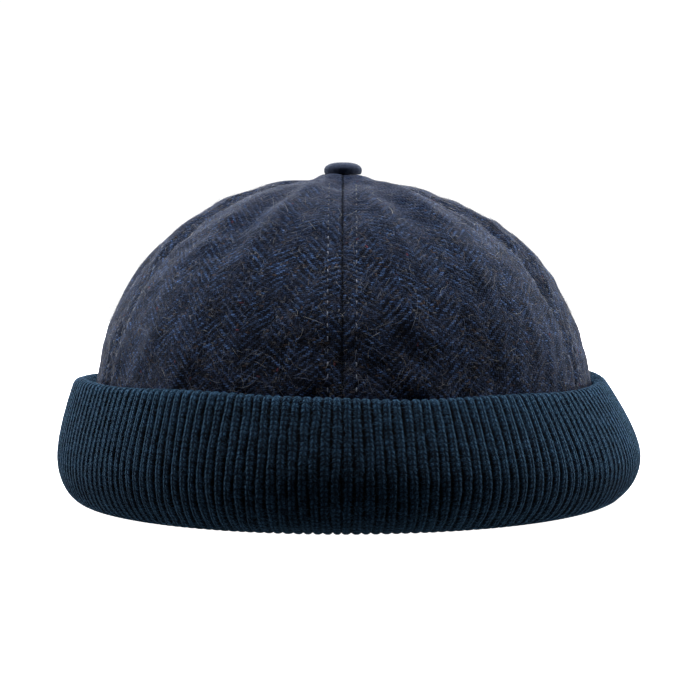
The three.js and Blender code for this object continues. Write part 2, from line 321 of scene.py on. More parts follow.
def tubes(rings, uv):
    """Points, quads and corner places of closed tubes. rings is (tubes, rings, sides, 3), and uv (tubes,
    rings, 2). Sides are joined round each tube, and each end is a fan of quads."""
    count, along, sides = rings.shape[:3]
    row, column = grid_corners(along - 1, sides)
    row, column = row[:, [0, 3, 2, 1]], column[:, [0, 3, 2, 1]] % sides
    fan = np.arange(1, sides - 1, 2)[:, None] + np.array([0, 1, 2])
    fan = np.concatenate([0 * fan[:, :1], fan % sides], 1)
    row = np.concatenate([row, 0 * fan, 0 * fan + along - 1])
    column = np.concatenate([column, fan[:, ::-1], fan])
    single = row * sides + column
    quads = single[None] + (np.arange(count) * along * sides)[:, None, None]
    return rings.reshape(-1, 3), quads.reshape(-1, 4), uv[:, row].reshape(-1, 4, 2)


print("mesh helpers ready")

# %% [markdown]
# ## The crown's shape
# A cap's crown is a dome of six gores, the two in front a little wider. Its side view is a superellipse,
# a little squarer than an ellipse, and it turns from round under the button to oval at the head. Over
# that plain dome each gore swells between its seams, each seam pulls in, soft folds run down from the
# button, and the cloth is drawn up to a neck under the button. A simulation could find such a shape, but
# formulas keep it exactly on the solids. These are the solids' own.

# %% Sizes of the cap
HEAD_GIRTH = 560
DEPTH_TO_WIDTH = 1.09
TWEED = 2
KNIT = 5
SEAM_GAP = 0.3
PANELS = 6
FRONT_PANEL_TURN = 67
CROWN_RISE = 70.7
HEM_DEPTH = 14
CROWN_FULLNESS = 2.13
PANEL_PUFF = 2.5
SEAM_DIP = 1.1
SEAM_GROOVE = 3
FOLD_LIFT = 2.4
BUTTON_RADIUS = 6.8
BUTTON_HEIGHT = 4.3
SHANK_RADIUS = 2.4
NECK_RISE = 1.7
NECK_RUN = 5.5
CUFF_HEIGHT = 43
BELLY_LEAN = 2.5

MEAN_TO_WIDTH = np.sqrt((1 + DEPTH_TO_WIDTH**2) / 2)
CROWN_HALF_WIDTH = HEAD_GIRTH / (2 * np.pi * MEAN_TO_WIDTH) + (KNIT + TWEED) / 2
HEM_HEIGHT = CUFF_HEIGHT - HEM_DEPTH
CROWN_HEIGHT = CROWN_RISE + HEM_DEPTH
EVEN_PACE = (DEPTH_TO_WIDTH**2 - 1) / (4 * (DEPTH_TO_WIDTH**2 + 1))
EYELET_TILT = np.arccos(((SHANK_RADIUS + SEAM_GAP) / CROWN_HALF_WIDTH) ** (CROWN_FULLNESS / 2))
SIDE_PANEL_TURN = (180 - FRONT_PANEL_TURN) / (PANELS / 2 - 1)
HALF_ROUND = [0] + [FRONT_PANEL_TURN + SIDE_PANEL_TURN * step for step in range(PANELS // 2)]
SEAMS = np.radians(HALF_ROUND + [360 - turn for turn in HALF_ROUND[-2::-1]])

FOLDS = np.array([  # degrees round at both ends, share down of both ends, half width in degrees, lift
    (-18, -27, 0.06, 0.8, 6, 0.55), (-29, -36, 0.1, 0.64, 6.5, -1), (13, 18, 0.1, 0.92, 5.5, 0.55),
    (20, 28, 0.08, 0.6, 7, -0.9), (39, 33, 0.1, 0.5, 5.5, 0.45), (2, 8, 0.68, 1, 22, -0.9),
    (6, 22, 0.72, 1, 4, 0.45), (30, 33, 0.76, 1, 9, -0.5), (-54, -58, 0.78, 1, 9, -0.5),
    (90, 90, 0, 0.58, 54, -0.84), (90, 90, 0.3, 1, 54, -0.53), (88, 92, 0.28, 0.56, 22, -0.26),
    (-90, -90, 0.3, 1, 54, -0.5), (-90, -90, 0.03, 0.28, 40, 0.1), (-93, -88, 0.26, 0.52, 20, -0.45),
    (-76, -78, 0.1, 0.7, 7, 0.45), (76, 78, 0.12, 0.75, 7, 0.5), (54, 51, 0.15, 0.6, 5.5, -0.6),
    (108, 112, 0.08, 0.7, 6.5, -0.7), (134, 139, 0.1, 0.85, 5.5, 0.5), (152, 157, 0.1, 0.65, 7, -0.9),
    (165, 169, 0.2, 0.95, 5.5, 0.5), (205, 199, 0.12, 0.6, 6.5, -0.8), (218, 214, 0.1, 0.8, 5.5, 0.5),
    (246, 250, 0.1, 0.7, 7, -0.7),
])
print("crown", round(2 * CROWN_HALF_WIDTH, 1), "mm wide at the hem")


# %% The plain dome
def oval_angle(turn):
    """Turn plus a small share of the sine of twice the turn, which paces evenly along the oval."""
    return turn + EVEN_PACE * np.sin(2 * turn)


def crown_outline(share):
    """Half width and height from the eyelet (share 0) to the hem (share 1): powers of the cosine and
    the sine."""
    tilt = (1 - share) * EYELET_TILT
    power = 2 / CROWN_FULLNESS
    return CROWN_HALF_WIDTH * np.cos(tilt) ** power, HEM_HEIGHT + CROWN_HEIGHT * np.sin(tilt) ** power


def dome_point(turn, share):
    """The outline carried round, stretched from front to back more and more towards the hem."""
    radius, height = crown_outline(share)
    angle = oval_angle(turn)
    stretch = 1 + (DEPTH_TO_WIDTH - 1) * radius / CROWN_HALF_WIDTH
    points = radius * np.sin(angle) - BELLY_LEAN, -radius * stretch * np.cos(angle), height + 0 * angle
    return np.stack(points, -1)


def unit(vectors):
    return vectors / np.linalg.norm(vectors, axis=-1, keepdims=True)


def dome_normal(turn, share):
    """Square to two small steps on the dome, one down it and one round it."""
    step = 1e-3
    low, high = np.maximum(share - step, 0), np.minimum(share + step, 1)
    down = dome_point(turn, high) - dome_point(turn, low)
    round_it = dome_point(turn + step, share) - dome_point(turn - step, share)
    return unit(np.cross(down, round_it))


front = dome_point(np.array([0.0]), np.array([1.0]))[0]
print("front of the hem at", front.round(1))


# %% The sewn crown
def smooth(value, low, high):
    """0 below low, 1 above high, and three squares less two cubes between them."""
    t = np.clip((value - low) / (high - low), 0, 1)
    return t * t * (3 - 2 * t)


def across_gore(turn, share):
    """The share of the way across its gore, and the distance in mm from the nearer seam."""
    once = np.mod(turn, 2 * np.pi)
    number = np.searchsorted(SEAMS[1:-1], once, side="right")
    wide = SEAMS[number + 1] - SEAMS[number]
    across = (once - SEAMS[number]) / wide
    return across, np.minimum(across, 1 - across) * wide * crown_outline(share)[0]


def crown_lift(turn, share):
    """How far the cloth stands out from the plain dome: the swell of a gore, less the groove at its seams,
    plus every fold (a bell curve across it times a squared sine along it), plus the neck under the
    button."""
    radius, _ = crown_outline(share)
    across, from_seam = across_gore(turn, share)
    lift = PANEL_PUFF * np.sin(np.pi * across) ** 1.5 * np.sin(np.pi * share)
    away = smooth(radius, BUTTON_RADIUS, 3 * BUTTON_RADIUS)
    lift = lift - SEAM_DIP * np.exp(-((from_seam / SEAM_GROOVE) ** 2)) * away
    for at_upper, at_lower, upper, lower, wide, height in FOLDS:
        along = np.clip((share - upper) / (lower - upper), 0, 1)
        aside = turn - np.radians(at_upper + (at_lower - at_upper) * along)
        aside = np.arctan2(np.sin(aside), np.cos(aside)) / np.radians(wide)
        lift = lift + height * FOLD_LIFT * np.sin(np.pi * along) ** 2 * np.exp(-(aside**2))
    return lift + NECK_RISE * (1 - smooth(radius, BUTTON_RADIUS, BUTTON_RADIUS + NECK_RUN))


def crown_point(turn, share, depth=0.0):
    """The dome, moved along its normal by the lift less the depth into the cloth."""
    lift = crown_lift(turn, share) - depth
    return dome_point(turn, share) + dome_normal(turn, share) * lift[..., None]


print("top of the cloth at", crown_point(np.zeros(1), np.zeros(1))[0, 2].round(1), "mm")

# %% [markdown]
# ## What needle and hand add
# A real gore isn't as smooth as its pattern piece. At each seam the cloth rolls over into the join, each
# row of topstitching presses a shallow channel with a dent at every stitch, and the wool is a little
# uneven all over. These are fractions of a millimetre, but they catch the light, so they are real relief
# in the mesh.

# %% Relief of the sewn cloth
STITCH_FROM_SEAM = 4.5
STITCH_PITCH = 4.2
CHANNEL_DEPTH = 0.32
CHANNEL_WIDTH = 0.9
DENT_DEPTH = 0.14
SEAM_ROLL = 0.9
LEAST_ROLL = 0.3
ROLL_GROWS = (6, 30)  # mm from the axis over which the roll grows from its least share to the whole
UNEVEN = 0.1
WAVE_COUNT = 14
WAVE_LENGTHS = (8, 26)  # mm
random = np.random.default_rng(11)
WAVES = unit(random.normal(size=(WAVE_COUNT, 3)))
WAVES = WAVES * (2 * np.pi / random.uniform(*WAVE_LENGTHS, (WAVE_COUNT, 1)))
WAVE_STARTS = random.uniform(0, 2 * np.pi, WAVE_COUNT)


def unevenness(points):
    """A sum of sine waves through space, in random directions and of random lengths."""
    return UNEVEN * np.sin(points @ WAVES.T + WAVE_STARTS).sum(-1)


def sewn_depth(turn, share, down):
    """How deep the cloth's face lies under the smooth crown. It is a quarter round at the seam, plus a
    bell-shaped channel at the stitches with a cosine dent for each of them, plus the unevenness."""
    radius, _ = crown_outline(share)
    _, from_seam = across_gore(turn, share)
    inside = np.clip(1 - from_seam / SEAM_ROLL, 0, 1)
    whole = LEAST_ROLL + (1 - LEAST_ROLL) * smooth(radius, *ROLL_GROWS)
    roll = SEAM_ROLL * (1 - np.sqrt(1 - inside**2)) * whole
    reach = smooth(radius, 1.5 * STITCH_FROM_SEAM, 4 * STITCH_FROM_SEAM)
    channel = np.exp(-(((from_seam - STITCH_FROM_SEAM) / CHANNEL_WIDTH) ** 2)) * reach
    dents = CHANNEL_DEPTH - DENT_DEPTH * np.cos(2 * np.pi * down / STITCH_PITCH)
    return roll + channel * dents + unevenness(dome_point(turn, share))


def run_length(points):
    """Length along each column of a grid of points, from its first row."""
    steps = np.linalg.norm(np.diff(points, axis=0), axis=-1)
    return np.concatenate([0 * steps[:1], np.cumsum(steps, 0)])


def length_down(turn, share):
    """Length along the dome from the first row of a grid to each of its rows."""
    return run_length(dome_point(turn, share))


print("channel", STITCH_FROM_SEAM, "mm from each seam")

# %% [markdown]
# ## Wool
# Wool cloth is never one colour. Fibres of several dyes are carded together, so up close a navy yarn
# holds blue, black and brown, and loose hairs curl over it. All the wools here share two shader groups.
# One mixes a ground and a heather colour by noise and gives a fine height for the fuzz. The other draws
# curly hairs: where a soft noise passes through its middle value it does so along curling lines, and a
# second noise breaks those into hairs.

# %% The shared wool groups
CURLS = (2.1, 0.022), (2.9, 0.017), (3.7, 0.015), (1.6, 0.03)  # mm across a curl, and a hair's width


def wool_group():
    """Ground and heather mixed by two sizes of noise."""
    tree = bpy.data.node_groups.new("carded_wool", "ShaderNodeTree")
    for name, kind in (("Place", "Vector"), ("Ground", "Color"), ("Heather", "Color"), ("Grain", "Float")):
        tree.interface.new_socket(name, in_out="INPUT", socket_type="NodeSocket" + kind)
    tree.interface.new_socket("Colour", in_out="OUTPUT", socket_type="NodeSocketColor")
    tree.interface.new_socket("Fuzz", in_out="OUTPUT", socket_type="NodeSocketFloat")
    given = add(tree, "NodeGroupInput").outputs
    inputs = {0: given["Place"], 3: calc(tree, "DIVIDE", 1.0, given["Grain"])}
    scaled = add(tree, "ShaderNodeVectorMath", inputs, operation="SCALE").outputs[0]
    fine = noise(tree, scaled, 1.0, 3.0)
    patch = noise(tree, scaled, 9.0)
    share = calc(tree, "MULTIPLY_ADD", fine, 0.75, times(tree, patch, 0.25))
    colour = mixed(tree, between(tree, share, 0.36, 0.66), given["Ground"], given["Heather"])
    add(tree, "NodeGroupOutput", {"Colour": colour, "Fuzz": fine})
    return tree


def hairs_group():
    """Near 1 where any of four noises is close to its middle value and its mask is high, else 0."""
    tree = bpy.data.node_groups.new("curly_hairs", "ShaderNodeTree")
    tree.interface.new_socket("Place", in_out="INPUT", socket_type="NodeSocketVector")
    tree.interface.new_socket("Hairs", in_out="OUTPUT", socket_type="NodeSocketFloat")
    place = add(tree, "NodeGroupInput").outputs["Place"]
    hairs = 0.0
    for size, width in CURLS:
        moved = vector(tree, "ADD", place, (size * 31, size * 17, size * 7))
        off = apart(tree, noise(tree, moved, size, 1.5), 0.5)
        mask = between(tree, noise(tree, moved, 1.5 * size, 0.0), 0.5, 0.62)
        hairs = calc(tree, "MAXIMUM", hairs, times(tree, between(tree, off, width, 0), mask))
    add(tree, "NodeGroupOutput", {"Hairs": hairs})
    return tree


def use(tree, group, inputs):
    """The outputs of a shader group placed in a material with these inputs."""
    return add(tree, "ShaderNodeGroup", inputs, node_tree=group).outputs


def wool(tree, place, ground, heather, grain):
    """Colour and fuzz of carded wool of these two dyes, with grains about this many millimetres across."""
    return use(tree, WOOL, {"Place": place, "Ground": ground, "Heather": heather, "Grain": grain})


WOOL, HAIRS = wool_group(), hairs_group()
print("groups", WOOL.name, "and", HAIRS.name)

# %% [markdown]
# ## Herringbone tweed
# A herringbone is a twill whose slanting lines turn back every few yarns. The warp runs down the gore and
# the weft across it. Every yarn goes over two and under two, and each row steps aside by one, so the
# cloth is a tiling of small floats: bricks two yarns long. Each float gets its own dye by a throw of the
# dice, which is what makes tweed look like salt and pepper. The pattern reads the gore's own coordinates
# in millimetres, so it follows the cloth as it was cut: columns lie along the gore's middle line, and
# they meet the seams at an angle, as on the real cap.

# %% The tweed
COLUMN_WIDTH = 9.0
WARP_PITCH = 0.78
WEFT_PITCH = 0.67
# SEAM_SHADE: mm from a seam over which the painted shade in the seam fades out
SEAM_SHADE = 0.8
TOP_FUZZ = (15, 85)  # mm down the gore over which the fuzz thins out
GORE_STEP = 190  # mm of pattern from one gore's start to the next
WEFT_DYES = rgba(0.0075, 0.0125, 0.028), rgba(0.0165, 0.031, 0.073), rgba(0.031, 0.062, 0.152)
WARP_DYES = rgba(0.002, 0.003, 0.006), rgba(0.0045, 0.0065, 0.0135), rgba(0.012, 0.02, 0.046)
BROWN, GREY, RED = rgba(0.03, 0.024, 0.026), rgba(0.045, 0.05, 0.064), rgba(0.055, 0.018, 0.027)
BROWN_SHARE, GREY_SHARE, RED_SHARE = 0.03, 0.04, 0.003
BLEND = rgba(0.05, 0.05, 0.05), rgba(2.45, 2.35, 2.2)  # the wool's grain, which multiplies the dyes
VEIL_DYES = rgba(0.01, 0.015, 0.034), rgba(0.023, 0.028, 0.048)
HAIR_DYES = rgba(0.035, 0.05, 0.1), rgba(0.075, 0.07, 0.075)


def float_dye(tree, throw, dark, plain, bright):
    """The dye of a float. The first number of the dice picks dark, plain or bright, and the others the odd
    brown, grey or red one."""
    colour = mixed(tree, between(tree, throw[0], 0.0, 0.45), dark, plain)
    colour = mixed(tree, between(tree, throw[0], 0.55, 1.0), colour, bright)
    colour = mixed(tree, calc(tree, "GREATER_THAN", throw[1], 1 - BROWN_SHARE), colour, BROWN)
    colour = mixed(tree, calc(tree, "LESS_THAN", throw[1], GREY_SHARE), colour, GREY)
    return mixed(tree, calc(tree, "LESS_THAN", throw[2], RED_SHARE), colour, RED)


def woven_floats(tree, aside, down):
    """Colour and roundness of the floats. Warp number plus weft number, less whole fours, is below two
    where the weft is on top. The same sum with the place across in place of its number runs along a weft
    float, and with the place down along a warp float."""
    column = calc(tree, "FLOOR", calc(tree, "DIVIDE", aside, COLUMN_WIDTH))
    turned = times(tree, calc(tree, "FLOORED_MODULO", column, 2.0), 2.0)
    across = calc(tree, "DIVIDE", calc(tree, "PINGPONG", aside, COLUMN_WIDTH), WARP_PITCH)
    down = calc(tree, "DIVIDE", down, WEFT_PITCH)
    warp, weft = calc(tree, "FLOOR", across), calc(tree, "FLOOR", down)

    def along_float(warp_place, weft_place):
        total = calc(tree, "ADD", calc(tree, "ADD", warp_place, weft_place), turned)
        part = calc(tree, "DIVIDE", calc(tree, "FLOORED_MODULO", total, 4.0), 2.0)
        return part, calc(tree, "FLOOR", calc(tree, "DIVIDE", total, 4.0))

    weft_up = calc(tree, "LESS_THAN", along_float(warp, weft)[0], 1.0)
    weft_part, weft_number = along_float(across, weft)
    warp_part, warp_number = along_float(warp, down)
    weft_round = times(tree, arch(tree, weft_part, 0.5), arch(tree, down))
    warp_round = times(tree, arch(tree, warp_part, 0.5), arch(tree, across))
    rounded = add(tree, "ShaderNodeMix", {0: weft_up, 2: warp_round, 3: weft_round}).outputs[0]
    weft_dye = float_dye(tree, dice(tree, weft, weft_number, column), *WEFT_DYES)
    warp_dye = float_dye(tree, dice(tree, warp, warp_number, calc(tree, "ADD", column, 0.5)), *WARP_DYES)
    return mixed(tree, weft_up, warp_dye, weft_dye), rounded


def fuzz_veil(tree, place, down, fuzz):
    """How much of the weave the fuzz hides, near the button and in soft patches, and the fuzz's own dye."""
    from_top = calc(tree, "FLOORED_MODULO", down, GORE_STEP)
    patches = between(tree, noise(tree, place, 11.0, 3.0), 0.4, 0.65, 0.0, 0.25)
    veil = calc(tree, "ADD", between(tree, from_top, *TOP_FUZZ, 0.62, 0.0), patches)
    dye = mixed(tree, between(tree, noise(tree, place, 5.0, 3.0), 0.4, 0.6), *VEIL_DYES)
    return veil, shaded(tree, dye, between(tree, fuzz, 0.3, 0.7, 0.5, 1.6))


def herringbone_tweed():
    """The floats, times the wool's grain and a slow change of tone, with painted shade and light from their
    roundness, then the veil of fuzz, the curly hairs and the painted shade in the seams, one over the
    other."""
    material, tree = new_material("herringbone_tweed")
    place = pattern_place(tree, "cloth")
    aside, down = axes(tree, bent(tree, bent(tree, place, 4.5, 1.6), 0.8, 0.35))
    colour, rounded = woven_floats(tree, aside, down)
    blend, fuzz = wool(tree, place, *BLEND, 0.4)
    patch = between(tree, noise(tree, place, 14.0, 2.0), 0.3, 0.7, 0.62, 1.06)
    # Painted shade and light: each float is darkened at its ends and edges, where it dips under the next
    # yarn, and lightened on its rounded top.
    shade = times(tree, between(tree, rounded, 0.15, 0.95, 0.2, 1.35), patch)
    colour = shaded(tree, mixed(tree, 1.0, colour, blend, "MULTIPLY"), shade)
    veil, veil_dye = fuzz_veil(tree, place, down, fuzz)
    colour = mixed(tree, veil, colour, veil_dye)
    hairs = use(tree, HAIRS, {"Place": place})["Hairs"]
    hair_dye = mixed(tree, between(tree, noise(tree, place, 3.0), 0.42, 0.58), *HAIR_DYES)
    colour = mixed(tree, times(tree, hairs, 0.42), colour, hair_dye)
    # Painted shade: the cloth is darkened within SEAM_SHADE mm of each seam, where it rolls into the join
    # and catches no light.
    from_seam = add(tree, "ShaderNodeAttribute", attribute_name="from_seam").outputs["Fac"]
    colour = shaded(tree, colour, between(tree, from_seam, 0.15, SEAM_SHADE, 0.35, 1.0))
    height = calc(tree, "MULTIPLY_ADD", rounded, 0.6, calc(tree, "MULTIPLY_ADD", fuzz, 0.5, hairs))
    finish_material(tree, {"Base Color": colour, "Roughness": 1.0, "Specular IOR Level": 0.05,
                           "Sheen Weight": 0.35, "Sheen Roughness": 0.2,
                           "Sheen Tint": rgba(0.16, 0.21, 0.36), "Normal": relief(tree, height, 0.35)})
    return material


TWEED_CLOTH = herringbone_tweed()
print(TWEED_CLOTH.name, "columns", COLUMN_WIDTH, "mm wide")

# %% [markdown]
# ## The six gores
# Each gore is one closed wall of cloth. Its columns crowd towards the seams by a cosine, so the roll into
# the seam gets the points it needs, and its middle gets fewer. The gores all but touch, as sewn ones do.

# %% The gores
PANEL_ROWS = 168
PANEL_COLUMNS = 112
PANEL_GAP = 0.12


def panel_grid(number, rows=PANEL_ROWS, columns=PANEL_COLUMNS):
    """Turn and share of each point of a gore, from seam to seam and from the eyelet to the hem."""
    share = (np.linspace(0, 1, rows + 1) ** 1.15)[:, None]
    across = (1 - np.cos(np.linspace(0, np.pi, columns + 1)))[None] / 2
    gap = PANEL_GAP / 2 / crown_outline(share)[0]
    turn = SEAMS[number] + gap + (SEAMS[number + 1] - SEAMS[number] - 2 * gap) * across
    return turn, share + 0 * turn


def cloth_places(number, turn, share):
    """Millimetres across from the gore's middle line, and down along it. A step of the pattern is added for
    each gore, so that no two gores show the same flecks."""
    across = run_length(dome_point(turn, share).swapaxes(0, 1)).T
    middle = turn.shape[1] // 2
    across = across - across[:, middle : middle + 1]
    down = length_down(turn, share)[:, middle : middle + 1] + 0 * across
    return np.stack([across + 2 * COLUMN_WIDTH * (number + 1), down + GORE_STEP * number], -1)


for number in range(PANELS):
    turn, share = panel_grid(number)
    outer = crown_point(turn, share, sewn_depth(turn, share, length_down(turn, share)))
    inner = crown_point(turn, share, TWEED + 0 * turn)
    points, quads, places = wall(outer, inner, cloth_places(number, turn, share))
    # Each gore carries its distance from the nearer seam, for the painted shade in the seams.
    _, from_seam = across_gore(turn, share)
    make_piece(f"tweed_gore_{number + 1}", points, quads, places, "cloth", TWEED_CLOTH, "tweed",
               [f"crown_panel_{number + 1}"], np.concatenate([from_seam, from_seam[:, ::-1]], 1))

# %% [markdown]
# ## The knit cuff
# The band is a tube of rib knit, sewn under the crown, turned at the bottom and brought up outside. Its
# section is a closed loop: down the inner face, round the fold, up the belly, over the edge and back down
# inside the pocket. It is carried round the oval of the hem. The ribs could be a bump in the material,
# but they show as scallops along the outline, so they are modelled: eight columns of points for each of
# 198 ribs.

# %% The cuff's section
EDGE_WAVE = 1
EDGE_CLEARANCE = 1.8
EDGE_LEAN = -0.7
BELLY_BULGE = 8.7
BELLY_HEIGHT = 15.5
POCKET_TURN = 0.4
REST_WIDTH = 1.4
UPPER_CURVE = 0.3


def section_arc(centre_out, centre_up, out_axis, up_axis, start, end, pieces):
    """Part of an ellipse from one angle to another in degrees, for every column at once."""
    steps = np.linspace(0, 1, pieces + 1)
    angle = np.radians(start + (end - start) * steps)
    out, up = centre_out + out_axis * np.cos(angle), centre_up + up_axis * np.sin(angle)
    return np.stack(np.broadcast_arrays(out, up), -1)


def straight(first, last, pieces):
    """Points from first up to but without last."""
    steps = np.linspace(0, 1, pieces, endpoint=False)[:, None]
    return first + (last - first) * steps


def cuff_section(angle):
    """The knit's section at each angle, as out and up in mm: straight leaf, two arcs of the fold and the
    belly, a quadratic curve up to the edge, half a circle over it, and the same shapes a knit's thickness
    further in."""
    half = KNIT / 2
    lean = np.sin(angle)[:, None]
    leaf_out, leaf_top = -TWEED / 2, HEM_HEIGHT - SEAM_GAP
    turn_radius = half + POCKET_TURN
    turn_out, turn_up = leaf_out + turn_radius, half + turn_radius
    rest_end = turn_out + REST_WIDTH
    edge_out = EDGE_CLEARANCE + EDGE_LEAN * lean + half
    belly_out = EDGE_CLEARANCE + BELLY_BULGE + BELLY_LEAN * lean + half
    edge_up = CUFF_HEIGHT - half - EDGE_WAVE * np.sin(2 * angle)[:, None]
    wide, tall = belly_out - rest_end, BELLY_HEIGHT - half

    def upper_face(offset, pieces):
        t = np.linspace(0, 1, pieces + 1)
        bend_up = BELLY_HEIGHT + (edge_up - BELLY_HEIGHT) * UPPER_CURVE
        x = belly_out * (1 - t * t) + edge_out * t * t
        y = BELLY_HEIGHT * (1 - t) ** 2 + 2 * bend_up * t * (1 - t) + edge_up * t * t
        along = np.stack([2 * t * (edge_out - belly_out) + 0 * y,
                          2 * (1 - t) * (bend_up - BELLY_HEIGHT) + 2 * t * (edge_up - bend_up)], -1)
        along = unit(along)
        return np.stack([x + along[..., 1] * offset, y - along[..., 0] * offset], -1), along[:, -1]

    outside, last = upper_face(half, 14)
    inside, _ = upper_face(-half, 6)
    tilt = np.degrees(np.arctan2(-last[:, :1], last[:, 1:]))
    flat = 0 * lean
    head_side = straight(np.array([leaf_out - half, leaf_top]), np.array([leaf_out - half, turn_up]), 6)
    pocket_side = straight(np.array([leaf_out + half, turn_up]), np.array([leaf_out + half, leaf_top]), 2)
    every = np.ones((len(angle), 1, 1))
    parts = [
        head_side * every,
        section_arc(turn_out + flat, turn_up, turn_radius + half, turn_radius + half, 180, 270, 5),
        section_arc(rest_end + flat, BELLY_HEIGHT, wide + half, tall + half, 270, 360, 13),
        outside[:, 1:],
        section_arc(edge_out, edge_up, half, half, tilt, tilt + 180, 8)[:, 1:],
        inside[:, -2::-1],
        section_arc(rest_end + flat, BELLY_HEIGHT, wide - half, tall - half, 360, 270, 3)[:, 1:],
        section_arc(turn_out + flat, turn_up, turn_radius - half, turn_radius - half, 270, 180, 1),
        pocket_side[1:] * every,
        np.array([[leaf_out + half, leaf_top]]) * every,
    ]
    return np.concatenate(parts, 1)


print("points in the section:", cuff_section(np.zeros(1)).shape[1])

# %% Ribs round the cuff
RIBS = 198
RIB_COLUMNS = 8
RIB_DEPTH = 0.7
RIB_PROUD = 0.25
RIB_WANDER = 0.07
OUTER_FACE = 40  # mm along the section, past which the knit lies on the outside and waves a little
COURSE = 1.55


def rib_profile(rib):
    """1 on a rib's back and 0 in the groove: an arch over most of the pitch with a slight valley down
    its middle."""
    side = np.abs(2 * (rib - np.floor(rib)) - 1)
    return np.clip(1 - (side / 0.95) ** 2, 0, 1) ** 0.85 - 0.12 * np.exp(-((side / 0.2) ** 2))


def cuff_surface():
    """The section carried round the hem's oval, square to it, then moved along the section's own normal by
    the rib profile. The move fades out inside the pocket. Ribs wander a little sideways as slow waves."""
    rib = np.arange(RIBS * RIB_COLUMNS + 1) / RIB_COLUMNS
    angle = oval_angle(2 * np.pi * rib / RIBS)
    section = cuff_section(angle)
    along = unit(np.roll(section, -1, 1) - np.roll(section, 1, 1))
    normal = np.stack([along[..., 1], -along[..., 0]], -1)
    mean = section[0]
    down = run_length(np.concatenate([mean, mean[:1]]))
    edge_row = mean[:, 1].argmax()
    rows = np.arange(section.shape[1])
    shown = 1 - smooth(rows, edge_row + 1, edge_row + 5)
    v = down[None, :-1]
    size = 1 + 0.1 * np.sin(rib * 2.4 + 1.3 * np.sin(rib * 0.7))[:, None]
    raised = RIB_DEPTH * size * (rib_profile(rib)[:, None] - 1) + RIB_PROUD
    slow = 0.3 * np.sin(rib * 0.19 + v.T * 0.04 + 0.6).T + 0.2 * np.sin(rib * 0.31 - v.T * 0.07 + 2).T
    raised = (raised + slow * (v > OUTER_FACE)) * shown[None] - 0.15 * (1 - shown[None])
    section = section + normal * raised[..., None]
    wander = np.sin(rib[:, None] * 0.6 + v * 0.11) + 0.6 * np.sin(rib[:, None] * 1.9 - v * 0.23)
    angle = oval_angle(2 * np.pi * (rib[:, None] + RIB_WANDER * wander) / RIBS)
    hem = CROWN_HALF_WIDTH * np.stack([np.sin(angle), -DEPTH_TO_WIDTH * np.cos(angle)], -1)
    outward = unit(np.stack([DEPTH_TO_WIDTH * np.sin(angle), -np.cos(angle)], -1))
    flat = hem + outward * section[..., :1]
    points = np.concatenate([flat, section[..., 1:]], -1) - [BELLY_LEAN, 0, 0]
    return points, rib, down


print("rib pitch", round(np.pi * 2 * CROWN_HALF_WIDTH * MEAN_TO_WIDTH / RIBS, 2), "mm at the hem")

# %% [markdown]
# ## Rib knit
# Each rib is a chain of stitches, and each stitch is a V of yarn. At this scale the V's are four pixels
# high, so they are left to a bump and to painted shade and light. The pattern counts ribs across and
# millimetres down: a stitch's phase is its course plus a slope times the distance from the rib's middle,
# which draws the two legs of the V.

# %% The knit material
RIB_PITCH = 3.1  # mm, which makes the pattern's two directions even
PAINTED_EDGE_LIGHT = 6  # mm of painted highlight: knit lightened on both sides of the turned edge, where light from above falls
LEG_SLANT = 1.3  # stitches that a leg climbs over a whole rib
LEG_PLACE = 0.19  # share of a rib from its middle to the middle of a leg
LEG_HALF_WIDTH = 0.17
KNIT_DYES = rgba(0.0016, 0.0042, 0.0085), rgba(0.0102, 0.0265, 0.0505)
KNIT_HAIR = rgba(0.018, 0.042, 0.075)


def knit_legs(tree, rib, down):
    """The yarn's roundness, the groove between ribs, and a throw of the dice for each leg. A rib has two
    legs, as arches across, times an arch for each stitch."""
    part = calc(tree, "FRACT", rib)
    side = apart(tree, part, 0.5)
    leg = times(tree, calc(tree, "GREATER_THAN", part, 0.5), 0.5)
    number = calc(tree, "FLOOR", rib)
    course = calc(tree, "MULTIPLY_ADD", side, LEG_SLANT, calc(tree, "DIVIDE", down, COURSE))
    course = calc(tree, "ADD", course, dice(tree, number, 1.0, 2.0)[0])
    throw = dice(tree, calc(tree, "ADD", number, leg), calc(tree, "FLOOR", course), 3.0)
    off_leg = apart(tree, side, LEG_PLACE)
    across = between(tree, off_leg, LEG_HALF_WIDTH, 0.0)
    return times(tree, arch(tree, course, 1.3), across), between(tree, side, 0.46, 0.3), throw[0]


